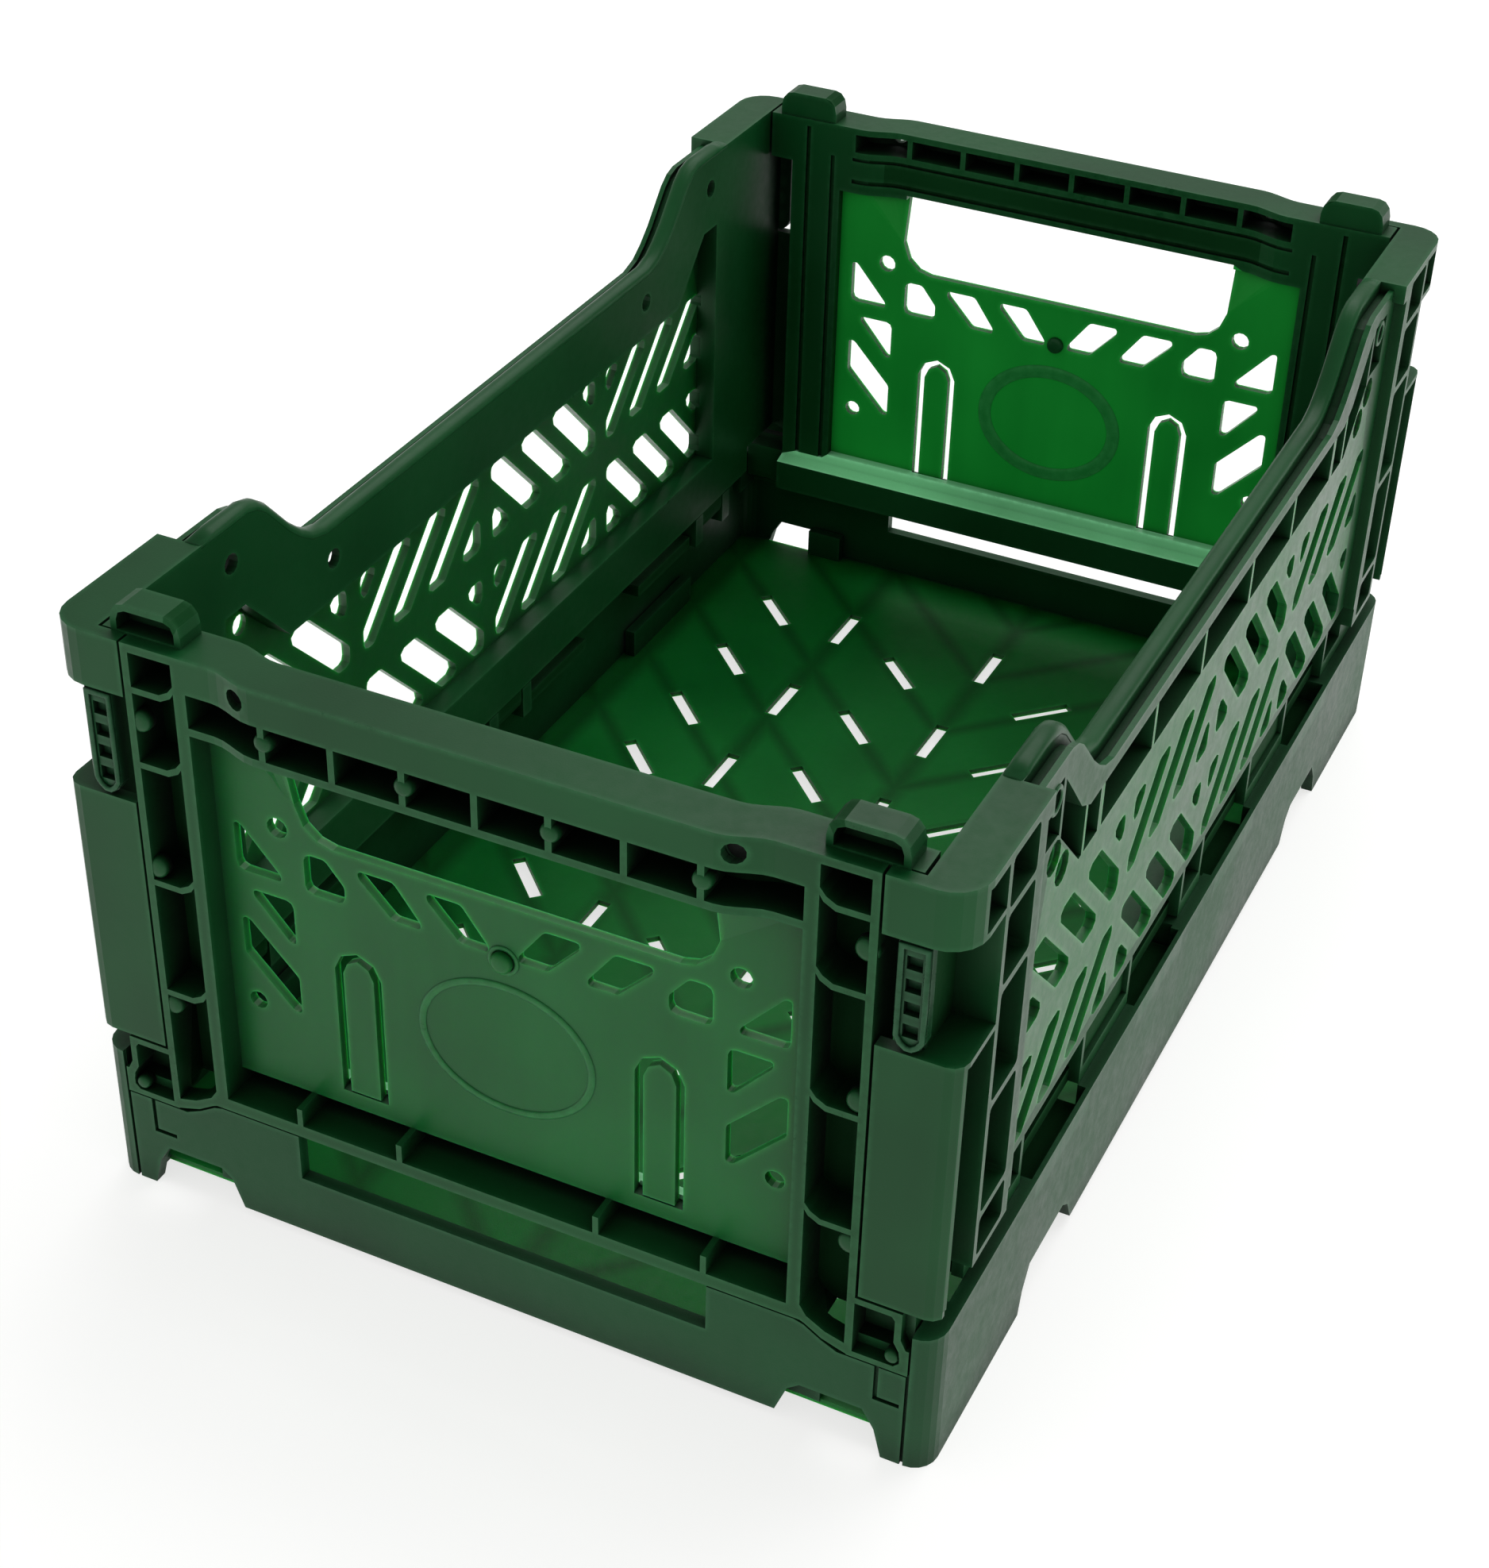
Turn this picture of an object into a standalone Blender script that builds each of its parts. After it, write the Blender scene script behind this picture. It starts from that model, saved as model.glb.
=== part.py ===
"""Small folding storage crate: a tray, two end walls that fold inward, two long walls, latches and pins.

Row frame: X is the width, Y the length, Z up. Sizes below are millimetres.
"""
import math

import bmesh
import bpy
from mathutils import Matrix, Vector

MM = 0.001

# Driving dimensions.
HALF_W = 82.0          # outer half width at the corners
HALF_L = 133.0         # outer half length at the corner plates
RIM_Z = 120.0          # top of the rim
TRAY_Z = 30.0          # top of the tray's long sides
TRAY_END_Z = 24.7      # top of the tray's end walls
SKIN = 2.5             # tray wall thickness
FLOOR_LOW = 3.1
FLOOR_TOP = 4.4
SLIT = 1.45            # half width of the floor's slots
GRIP_BULGE = 2.4       # how far the hand grips stand out past the corners

END_HALF = 67.0        # half width of an end wall's frame
PANEL_HALF = 54.9      # half width of its thin panel
END_INNER = 124.0      # inner face of the end wall's frame
PANEL_OUT = 128.0      # outer face of the thin panel
PANEL_IN = 126.2
BEAM_IN = 121.0        # inner face of its bottom beam
HINGE_Y = 128.0        # end wall hinge axis
HINGE_Z = 25.5
PIN_R = 1.9
BORE_R = 1.97

SIDE_IN = 73.0         # inner face of a long wall's frame
SIDE_OUT = 79.6        # outer face of its panel and low rail
SIDE_PANEL_IN = 77.7
SIDE_LOW_Z = 30.3
DIP_Z = 104.0          # top of the long wall's low middle
HIGH_Y = 87.5          # the rim is high beyond this
LOW_Y = 64.0           # and low inside this
STEP_Y = 101.5         # end of the rim's full width
RIDGE_X = 76.6         # a long wall's top is a ridge up to here, then a valley, then a lip
LIP_X = 78.5
SIDE_PIN_X = 76.2
SIDE_PIN_Z = 27.2
SIDE_PIN_YS = (-98.0, 0.0, 98.0)

SLOT_HALF = 39.0       # hand slot
SLOT_LOW = 87.0
SLOT_TOP = 105.5
RIB_PITCH = 13.0       # ribs under the rim, on both faces
TAB_X = 28.7           # spring tabs in the end walls

PLATE_IN = 130.6       # inner face of the corner plates
CAP_LOW = 109.2        # underside of the corner caps, top of the latch windows
WINDOW_LOW = 88.0
CAP_ROUND = 6.5        # plan radius of the rim's corners
PLATE_ROUND = 3.0      # and of the corner plates below it
CELL_ROUND = 0.9       # corners of the long walls' ladder cells
LUG_TOP = 125.4        # top of the stacking lugs
POCKET_TOP = 31.4      # the end walls' bottom pockets reach from BAR_TOP to here
BAR_TOP = 27.6
FOOT_LOW = 21.0        # underside of an end wall's feet
TRAY_ROUND = 4.5       # plan radius of the tray's corners
BAND_LOW = 33.4        # open cells along the bottom of a long wall
BAND_TOP = 41.4


def clear_scene():
    for obj in list(bpy.data.objects):
        bpy.data.objects.remove(obj, do_unlink=True)


def collection(name):
    found = bpy.data.collections.new(name)
    bpy.context.scene.collection.children.link(found)
    return found


def material(name, color, roughness):
    made = bpy.data.materials.new(name)
    made.use_nodes = True
    shader = made.node_tree.nodes["Principled BSDF"]
    shader.inputs["Base Color"].default_value = (*color, 1.0)
    shader.inputs["Roughness"].default_value = roughness
    made.diffuse_color = (*color, 1.0)
    return made


def object_from(bm, name, place):
    bmesh.ops.recalc_face_normals(bm, faces=bm.faces)
    mesh = bpy.data.meshes.new(name)
    bm.to_mesh(mesh)
    bm.free()
    obj = bpy.data.objects.new(name, mesh)
    place.objects.link(obj)
    return obj


def add_box(bm, low, high):
    corners = []
    for z in (low[2], high[2]):
        for x, y in ((low[0], low[1]), (high[0], low[1]), (high[0], high[1]), (low[0], high[1])):
            corners.append(bm.verts.new((x * MM, y * MM, z * MM)))
    bottom = corners[:4]
    top = corners[4:]
    bm.faces.new(bottom[::-1])
    bm.faces.new(top)
    for i in range(4):
        j = (i + 1) % 4
        bm.faces.new((bottom[i], bottom[j], top[j], top[i]))


def add_prism(bm, points, axis, start, end):
    """A closed prism: points are 2D, in the plane across axis, in X, Y, Z order."""
    rings = []
    for depth in (start, end):
        ring = []
        for a, b in points:
            if axis == "x":
                spot = (depth, a, b)
            elif axis == "y":
                spot = (a, depth, b)
            else:
                spot = (a, b, depth)
            ring.append(bm.verts.new(Vector(spot) * MM))
        rings.append(ring)
    bm.faces.new(rings[0])
    bm.faces.new(rings[1][::-1])
    count = len(points)
    for i in range(count):
        j = (i + 1) % count
        bm.faces.new((rings[0][i], rings[1][i], rings[1][j], rings[0][j]))


def prism_object(name, place, points, axis, start, end):
    bm = bmesh.new()
    add_prism(bm, points, axis, start, end)
    return object_from(bm, name, place)


def boolean(target, tool, operation):
    change = target.modifiers.new(operation, "BOOLEAN")
    change.operation = operation
    change.solver = "EXACT"
    change.use_self = True
    change.object = tool
    depsgraph = bpy.context.evaluated_depsgraph_get()
    made = bpy.data.meshes.new_from_object(target.evaluated_get(depsgraph))
    target.modifiers.clear()
    old = target.data
    target.data = made
    bpy.data.meshes.remove(old)
    bpy.data.objects.remove(tool, do_unlink=True)


def tidy(obj):
    bm = bmesh.new()
    bm.from_mesh(obj.data)
    bmesh.ops.remove_doubles(bm, verts=bm.verts, dist=2e-6)
    bmesh.ops.dissolve_degenerate(bm, edges=bm.edges, dist=1e-6)
    bmesh.ops.dissolve_limit(bm, angle_limit=0.002, verts=bm.verts, edges=bm.edges)
    bmesh.ops.triangulate(bm, faces=[f for f in bm.faces if len(f.verts) > 4])
    bm.to_mesh(obj.data)
    bm.free()


def turned_copy(source, name, place):
    """The same moulding used at the other end: turned half way round the vertical axis."""
    obj = bpy.data.objects.new(name, source.data.copy())
    obj.data.transform(Matrix.Rotation(math.pi, 4, "Z"))
    place.objects.link(obj)
    return obj


def rounded(points, radius, steps=2):
    """Round every corner of a 2D outline."""
    made = []
    count = len(points)
    for i in range(count):
        before = Vector(points[i - 1])
        here = Vector(points[i])
        after = Vector(points[(i + 1) % count])
        into = (before - here)
        out = (after - here)
        half = into.angle(out) / 2.0
        reach = min(radius / math.tan(half), into.length * 0.45, out.length * 0.45)
        size = reach * math.tan(half)
        into.normalize()
        out.normalize()
        centre = here + (into + out).normalized() * (size / math.sin(half))
        a = here + into * reach - centre
        b = here + out * reach - centre
        turn = a.angle_signed(b)
        for k in range(steps + 1):
            step = -turn * k / steps
            spot = Vector((a.x * math.cos(step) - a.y * math.sin(step),
                           a.x * math.sin(step) + a.y * math.cos(step)))
            made.append(tuple(centre + spot))
    return made


def circle(x, y, radius, count=10):
    made = []
    for i in range(count):
        angle = 2.0 * math.pi * (i + 0.5) / count
        made.append((x + radius * math.cos(angle), y + radius * math.sin(angle)))
    return made


def clip(points, inside, cross):
    made = []
    count = len(points)
    for i in range(count):
        a = points[i]
        b = points[(i + 1) % count]
        if inside(a):
            made.append(a)
        if inside(a) != inside(b):
            made.append(cross(a, b))
    return made


def at_first(edge):
    """Where a side crosses a line of constant first coordinate."""
    def cross(a, b):
        share = (edge - a[0]) / (b[0] - a[0])
        return (edge, a[1] + share * (b[1] - a[1]))
    return cross


def band_in_box(start, width, lean, low, high):
    """One leaning slot cut off by a rectangle. lean 1 rises to the right, -1 falls."""
    rise = high[1] - low[1]
    if lean > 0:
        shape = [(start, low[1]), (start + width, low[1]),
                 (start + width + rise, high[1]), (start + rise, high[1])]
    else:
        shape = [(start + rise, low[1]), (start + width + rise, low[1]),
                 (start + width, high[1]), (start, high[1])]

    shape = clip(shape, lambda p: p[0] >= low[0] - 1e-9, at_first(low[0]))
    if len(shape) > 2:
        shape = clip(shape, lambda p: p[0] <= high[0] + 1e-9, at_first(high[0]))
    return shape


def area(points):
    total = 0.0
    for i, (x, y) in enumerate(points):
        nx, ny = points[(i + 1) % len(points)]
        total += x * ny - nx * y
    return abs(total) / 2.0


def distinct(points):
    made = []
    for p in points:
        if not made or (Vector(p) - Vector(made[-1])).length > 0.05:
            made.append(p)
    if (Vector(made[0]) - Vector(made[-1])).length < 0.05:
        made.pop()
    return made


def side_holes():
    """Leaning slots in two rows of four groups, each group leaning the other way."""
    holes = []
    for row, (low_z, high_z) in enumerate(((43.5, 60.5), (67.5, 84.5))):
        for group in range(4):
            left = -97.5 + group * 50.0
            lean = 1 if (group + row) % 2 == 0 else -1
            for k in range(-2, 5):
                start = left + k * 13.4 - (4.1 if lean > 0 else 2.4)
                shape = band_in_box(start, 8.2, lean, (left, low_z), (left + 45.0, high_z))
                if len(shape) < 3:
                    continue
                shape = distinct(shape)
                if len(shape) < 3 or area(shape) < 9.0:
                    continue
                holes.append(rounded(shape, 1.5, 2))
    return holes


def end_holes():
    """Openings of an end wall's thin panel, as seen from the front: x and z."""
    left = [
        [(-38.0, 76.4), (-38.0, 84.4), (-33.8, 84.4), (-30.2, 80.0), (-30.2, 76.4)],
        [(-21.0, 76.4), (-15.6, 76.4), (-15.6, 77.6), (-20.6, 84.4), (-27.4, 84.4), (-27.4, 83.0)],
        [(-8.2, 76.4), (-2.8, 76.4), (-2.8, 77.6), (-7.8, 84.4), (-14.2, 84.4), (-14.2, 83.0)],
        [(-51.6, 76.8), (-42.8, 76.8), (-42.8, 78.0), (-50.4, 86.6), (-51.6, 86.6)],
        [(-48.8, 73.2), (-40.8, 73.2), (-40.8, 64.2), (-42.0, 64.2), (-48.8, 72.0)],
        [(-51.6, 66.6), (-51.6, 58.8), (-42.2, 49.0), (-40.8, 49.0), (-40.8, 56.8), (-50.2, 66.6)],
    ]
    rounds = [(-42.8, 88.0, 2.0), (-49.8, 48.8, 1.8)]
    holes = []
    for side in (1, -1):
        for shape in left:
            placed = [(x * side, z) for x, z in shape]
            if side < 0:
                placed = placed[::-1]
            holes.append(rounded(distinct(placed), 1.4, 2))
        for x, z, radius in rounds:
            holes.append(circle(x * side, z, radius, 12))
    return holes


def make_end_wall(place, cutters):
    """The front end wall, standing up, with its outer face towards -Y."""
    wall = prism_object("front_end_wall", place, [
        (-HALF_L, 25.0), (-BEAM_IN, 25.0), (-BEAM_IN, 32.3), (-END_INNER, 33.2),
        (-END_INNER, RIM_Z), (-HALF_L, RIM_Z),
    ], "x", -END_HALF, END_HALF)
    extra = bmesh.new()
    for side in (1, -1):
        # End of the top flange, behind the corner cap.
        xs = sorted((END_HALF - 1.0, 72.4))
        low = (min(side * xs[0], side * xs[1]), -130.0, 109.5)
        high = (max(side * xs[0], side * xs[1]), -END_INNER, RIM_Z)
        add_box(extra, low, high)
    boolean(wall, object_from(extra, "flange_ends", cutters), "UNION")
    feet = bmesh.new()
    for side in (1, -1):
        foot = [(-HALF_L, 34.4), (-129.6, 34.4), (-129.6, 33.0), (-125.4, 33.0), (-125.4, 27.5)]
        foot += [(-HINGE_Y + 2.5 * math.cos(a), HINGE_Z + 2.5 * math.sin(a))
                 for a in (0.0, -0.6, -1.2, -1.8)]
        foot += [(-129.4, 23.3), (-129.4, FOOT_LOW), (-HALF_L, FOOT_LOW)]
        ends = sorted((side * 66.0, side * 77.0))
        add_prism(feet, foot, "x", ends[0], ends[1])
        # The bottom edge steps down to the foot.
        step = [(side * 56.6, 25.4), (side * 58.4, 24.6), (side * 61.5, 22.6), (side * 64.5, FOOT_LOW + 0.6),
                (side * 66.5, FOOT_LOW), (side * 66.5, 26.0), (side * 56.6, 26.0)]
        add_prism(feet, step, "y", -HALF_L, -129.4)
    boolean(wall, object_from(feet, "feet", cutters), "UNION")
    lugs = bmesh.new()
    for side in (1, -1):
        outline = [(56.8, 118.5), (70.4, 118.5), (70.4, 122.0), (70.0, 123.8), (69.0, 125.0), (67.6, LUG_TOP),
                   (59.6, LUG_TOP), (58.2, 125.0), (57.2, 123.8), (56.8, 122.0)]
        add_prism(lugs, [(side * x, z) for x, z in outline], "y", -130.4, -124.6)
    boolean(wall, object_from(lugs, "lugs", cutters), "UNION")
    tool = bmesh.new()
    for side in (1, -1):
        # The lugs are hollow in front.
        hollow = [(58.0, 120.4), (69.2, 120.4), (69.2, 122.2), (68.7, 123.6), (67.4, 124.2), (59.8, 124.2),
                  (58.5, 123.6), (58.0, 122.2)]
        add_prism(tool, [(side * x, z) for x, z in hollow], "y", -HALF_L, -127.0)
    boolean(wall, object_from(tool, "lug_hollows", cutters), "DIFFERENCE")

    # Openings that reach the outer face.
    tool = bmesh.new()
    add_box(tool, (-PANEL_HALF, -HALF_L - 1, POCKET_TOP), (PANEL_HALF, -PANEL_OUT, SLOT_TOP))
    boolean(wall, object_from(tool, "front_recess", cutters), "DIFFERENCE")
    tool = bmesh.new()
    ribs = (-PANEL_HALF, -39.6, -19.3, 19.3, 39.6, PANEL_HALF)
    for i in range(5):
        low_x = ribs[i] + (0.0 if i == 0 else 0.55)
        high_x = ribs[i + 1] - (0.0 if i == 4 else 0.55)
        pocket = [(-HALF_L - 1, BAR_TOP), (-122.8, BAR_TOP), (-122.8, 30.2), (-126.4, POCKET_TOP),
                  (-HALF_L - 1, POCKET_TOP)]
        add_prism(tool, pocket, "x", low_x, high_x)
    ribs = [-PANEL_HALF] + [RIB_PITCH * i for i in range(-3, 4)] + [PANEL_HALF]
    for i in range(8):
        low_x = ribs[i] + (0.0 if i == 0 else 0.6)
        high_x = ribs[i + 1] - (0.0 if i == 7 else 0.6)
        add_box(tool, (low_x, -HALF_L - 1, 107.0), (high_x, -125.6, 113.4))
    for side in (1, -1):
        # Ladder cells: the ribs between them bend up towards the panel.
        for low_z, high_z in ((0.0, 47.6), (48.8, 71.6), (72.8, 95.8), (97.0, 110.6), (111.8, 118.4)):
            cell = [(57.3, low_z + 2.4), (58.4, low_z + 1.0), (60.2, low_z), (65.6, low_z)]
            if low_z == 0.0:
                cell = [(57.3, 28.4), (58.6, 26.4), (62.0, 24.4), (65.6, 23.4)]
            cell += [(65.6, high_z), (60.0, high_z), (58.0, high_z + 1.1), (57.3, high_z + 2.2)]
            if high_z > 118.0:
                cell = cell[:4] + [(65.6, high_z), (57.3, high_z)]
            add_prism(tool, [(side * x, z) for x, z in cell], "y", -HALF_L - 1, -125.6)
        # Foot pocket, deep above and shallow below the hinge.
        pocket = [(67.0, 24.2), (75.4, 24.2), (75.2, 25.8), (74.2, 27.6),
                  (74.2, 32.4), (73.6, 33.2), (67.0, 33.2)]
        add_prism(tool, [(side * x, z) for x, z in pocket], "y", -HALF_L - 1, -130.4)
        deep = pocket[:4] + [(74.2, 32.0), (67.0, 32.0)]
        add_prism(tool, [(side * x, z) for x, z in deep], "y", -131.0, -127.6)
        pocket = [(67.0, 24.6), (67.0, 22.2), (74.4, 22.2), (75.4, 23.2), (75.4, 24.6)]
        add_prism(tool, [(side * x, z) for x, z in pocket], "y", -HALF_L - 1, -130.4)
        # The foot is narrower above the ball of its corner.
        notch = [(75.4, 28.6), (76.4, 26.6), (78.0, 26.6), (78.0, 36.0), (75.4, 36.0)]
        add_prism(tool, [(side * x, z) for x, z in notch], "y", -HALF_L - 1, -130.9)
    boolean(wall, object_from(tool, "front_cells", cutters), "DIFFERENCE")

    # Openings that reach the inner face.
    tool = bmesh.new()
    add_box(tool, (-PANEL_HALF, -PANEL_IN, 35.8), (PANEL_HALF, -END_INNER + 1, SLOT_TOP - 1.0))
    ribs = [RIB_PITCH * i for i in range(-4, 5)]
    for i in range(8):
        add_box(tool, (ribs[i] + 0.6, -131.4, 114.4), (ribs[i + 1] - 0.6, -END_INNER + 1, 118.6))
    # Shallow grooves beside the frame's posts, and a step under the top cells.
    for side in (1, -1):
        xs = sorted((side * 56.4, side * 57.4))
        add_box(tool, (xs[0], -124.8, 34.6), (xs[1], -END_INNER + 1, 112.6))
        xs = sorted((side * 62.6, side * 63.6))
        add_box(tool, (xs[0], -124.8, 34.6), (xs[1], -END_INNER + 1, 118.4))
    add_box(tool, (-52.0, -124.8, 106.8), (52.0, -END_INNER + 1, 107.8))
    add_box(tool, (-52.0, -124.8, 112.2), (52.0, -END_INNER + 1, 113.0))
    boolean(wall, object_from(tool, "inner_cells", cutters), "DIFFERENCE")

    # Hand slot, holes and the gaps round the spring tabs.
    tool = bmesh.new()
    slot = [(-SLOT_HALF, SLOT_TOP), (SLOT_HALF, SLOT_TOP), (SLOT_HALF, 94.0), (SLOT_HALF - 1.5, 90.0),
            (SLOT_HALF - 4.0, 87.8), (SLOT_HALF - 7.0, SLOT_LOW), (-SLOT_HALF + 7.0, SLOT_LOW),
            (-SLOT_HALF + 4.0, 87.8), (-SLOT_HALF + 1.5, 90.0), (-SLOT_HALF, 94.0)]
    add_prism(tool, slot, "y", -PANEL_OUT - 0.5, -END_INNER + 0.5)
    for shape in end_holes():
        add_prism(tool, shape, "y", -PANEL_OUT - 0.5, -PANEL_IN + 0.5)
    for side in (1, -1):
        gap = [(side * TAB_X - 4.6, 34.8), (side * TAB_X + 4.6, 34.8), (side * TAB_X + 4.6, 62.0),
               (side * TAB_X + 3.2, 65.0), (side * TAB_X, 66.4), (side * TAB_X - 3.2, 65.0),
               (side * TAB_X - 4.6, 62.0)]
        add_prism(tool, gap, "y", -PANEL_OUT - 0.5, -PANEL_IN + 0.5)
    for side in (1, -1):
        add_prism(tool, circle(side * 44.0, 116.8, 1.9, 12), "y", -HALF_L - 1, -130.0)
    boolean(wall, object_from(tool, "through", cutters), "DIFFERENCE")
    tidy(wall)

    # The hand grip stands out between the two ladder columns, in a smooth bend.
    bm = bmesh.new()
    bm.from_mesh(wall.data)
    for x in (-50.0, -48.2, -46.4, -44.6, -42.8, -41.0, 41.0, 42.8, 44.6, 46.4, 48.2, 50.0):
        faces = [f for f in bm.faces if f.calc_center_median().z > (SLOT_TOP - 1.5) * MM]
        geometry = set(faces)
        for face in faces:
            geometry.update(face.edges)
            geometry.update(face.verts)
        bmesh.ops.bisect_plane(bm, geom=list(geometry), dist=2e-6,
                               plane_co=(x * MM, 0, 0), plane_no=(1, 0, 0))
    bmesh.ops.triangulate(bm, faces=[f for f in bm.faces if len(f.verts) > 4])
    bm.to_mesh(wall.data)
    bm.free()
    for vert in wall.data.vertices:
        x = abs(vert.co.x) / MM
        y = vert.co.y / MM
        z = vert.co.z / MM
        if x < 50.0 and z > SLOT_TOP - 1.5 and y < -123.0:
            share = min(1.0, max(0.0, (50.0 - x) / 9.0))
            vert.co.y -= GRIP_BULGE * share * share * (3.0 - 2.0 * share) * MM
    return wall


def make_side_wall(place, cutters):
    """The right long wall, with its outer face towards +X."""
    top = [(-HALF_L + 14.0, RIM_Z), (-HIGH_Y, RIM_Z), (-84.6, 119.2), (-82.0, 117.4), (-79.0, 114.2),
           (-75.5, 110.4), (-72.0, 107.4), (-68.5, 105.2), (-LOW_Y, DIP_Z)]
    top += [(-y, z) for y, z in top[::-1]]
    outline = [(-117.0, 100.0), (-117.0, SIDE_LOW_Z), (117.0, SIDE_LOW_Z), (117.0, 100.0)] + top[::-1]
    wall = prism_object("right_long_wall", place, outline, "x", SIDE_IN, SIDE_OUT)
    tool = bmesh.new()
    above = [(-y, RIM_Z + 5.0) for y in (-117.0, 117.0)]
    add_prism(tool, [(y, z - 2.6) for y, z in top] + above, "x", RIDGE_X, LIP_X)
    add_prism(tool, [(y, z - 1.4) for y, z in top] + above, "x", LIP_X - 0.2, SIDE_OUT + 1)
    boolean(wall, object_from(tool, "valley", cutters), "DIFFERENCE")
    corners = bmesh.new()
    for side in (1, -1):
        ends = sorted((side * 104.0, side * (HALF_L - 0.02)))
        add_box(corners, (SIDE_IN, ends[0], 36.5), (HALF_W, ends[1], RIM_Z))
    boolean(wall, object_from(corners, "corners", cutters), "UNION")
    rim = bmesh.new()
    for side in (1, -1):
        ends = sorted((side * STEP_Y, side * 105.0))
        add_box(rim, (SIDE_IN + 1.0, ends[0], 116.0), (HALF_W, ends[1], RIM_Z))
        # Plate across the corner, its cap above the window.
        ends = sorted((side * PLATE_IN, side * HALF_L))
        add_box(rim, (67.5, ends[0], 35.0), (HALF_W - 0.4, ends[1], WINDOW_LOW))
        ends = sorted((side * 130.4, side * HALF_L))
        add_box(rim, (67.5, ends[0], CAP_LOW), (HALF_W, ends[1], RIM_Z))
    boolean(wall, object_from(rim, "returns", cutters), "UNION")
    # Round the vertical corner edges, less below the window than above it.
    around = [(0.0, -HALF_L), (HALF_W, -HALF_L), (HALF_W, HALF_L), (0.0, HALF_L)]
    envelope = bmesh.new()
    add_prism(envelope, rounded(around, CAP_ROUND, 5), "z", WINDOW_LOW + 10.0, RIM_Z + 1)
    add_prism(envelope, rounded(around, PLATE_ROUND, 3), "z", SIDE_LOW_Z - 1, WINDOW_LOW + 10.0)
    boolean(wall, object_from(envelope, "envelope", cutters), "INTERSECT")

    tool = bmesh.new()
    # Inner hollow behind the thin panel.
    add_box(tool, (SIDE_IN - 1, -97.0, 42.6), (SIDE_PANEL_IN, 97.0, 89.5))
    for side in (1, -1):
        # It climbs under the high ends, parallel to the outer recess.
        climb = [(77.4, 89.0), (97.0, 89.0), (97.0, 102.6), (90.6, 102.6)]
        add_prism(tool, [(side * y, z) for y, z in climb], "x", SIDE_IN - 1, SIDE_PANEL_IN)
    boolean(wall, object_from(tool, "inner_hollow", cutters), "DIFFERENCE")
    tool = bmesh.new()
    # Outer cells: along the bottom, under the rail and up the ladder columns.
    for start, end in ((-104.8, -92.4), (-91.2, -62.0), (-36.0, -6.6), (-5.4, 5.4), (6.6, 36.0),
                       (62.0, 91.2), (92.4, 104.8)):
        add_box(tool, (74.8, start, BAND_LOW), (SIDE_OUT + 3, end, BAND_TOP))
        if abs(start + end) > 1.0 and end - start > 20.0:
            add_box(tool, (77.6, start, SIDE_LOW_Z - 1), (SIDE_OUT + 3, end, BAND_LOW + 0.5))
    for side in (1, -1):
        # Shallow plates between the deep cells.
        ends = sorted((side * 37.2, side * 60.8))
        add_box(tool, (78.6, ends[0], BAND_LOW), (SIDE_OUT + 3, ends[1], BAND_TOP))
    ribs = (-68.0, -41.0, -14.0, 14.0, 41.0, 68.0)
    for i in range(5):
        add_box(tool, (74.8, ribs[i] + 0.6, 91.0), (SIDE_OUT + 3, ribs[i + 1] - 0.6, 99.8))
    for side in (1, -1):
        # Under the high ends the recess climbs, between two thin ribs.
        climb = [(69.2, 91.0), (78.1, 91.0), (90.6, 103.9), (98.2, 103.9), (98.2, 114.8),
                 (90.0, 114.8), (84.5, 108.5), (79.2, 102.3), (74.5, 99.8), (69.2, 99.8)]
        for start, end in ((69.2, 75.8), (76.8, 89.1), (90.1, 98.2)):
            shape = clip(climb, lambda p: p[0] >= start - 1e-9, at_first(start))
            shape = distinct(clip(shape, lambda p: p[0] <= end + 1e-9, at_first(end)))
            add_prism(tool, [(side * y, z) for y, z in shape], "x", 74.8, SIDE_OUT + 3)
        for low_z, high_z in ((37.8, 46.0), (47.4, 69.6), (71.0, 92.8), (94.2, 107.6), (109.0, 118.4)):
            ends = sorted((side * 107.4, side * 118.6))
            cell = [(ends[0], low_z), (ends[1], low_z), (ends[1], high_z), (ends[0], high_z)]
            add_prism(tool, rounded(cell, CELL_ROUND, 2), "x", 74.8, HALF_W + 1)
        # Open channel beside the corner, above, in and below the window.
        ends = sorted((side * 120.0, side * PLATE_IN))
        add_box(tool, (74.8, ends[0], 36.0), (HALF_W + 1, ends[1], WINDOW_LOW - 1.1))
        add_box(tool, (74.8, ends[0], WINDOW_LOW), (HALF_W + 1, ends[1], CAP_LOW))
        ends = sorted((side * 120.0, side * 127.4))
        add_box(tool, (74.8, ends[0], CAP_LOW + 1.1), (HALF_W + 1, ends[1], 118.4))
        # Window through the corner.
        ends = sorted((side * (PLATE_IN - 0.1), side * (HALF_L + 1)))
        add_box(tool, (67.0, ends[0], WINDOW_LOW), (HALF_W + 1, ends[1], CAP_LOW))
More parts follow.
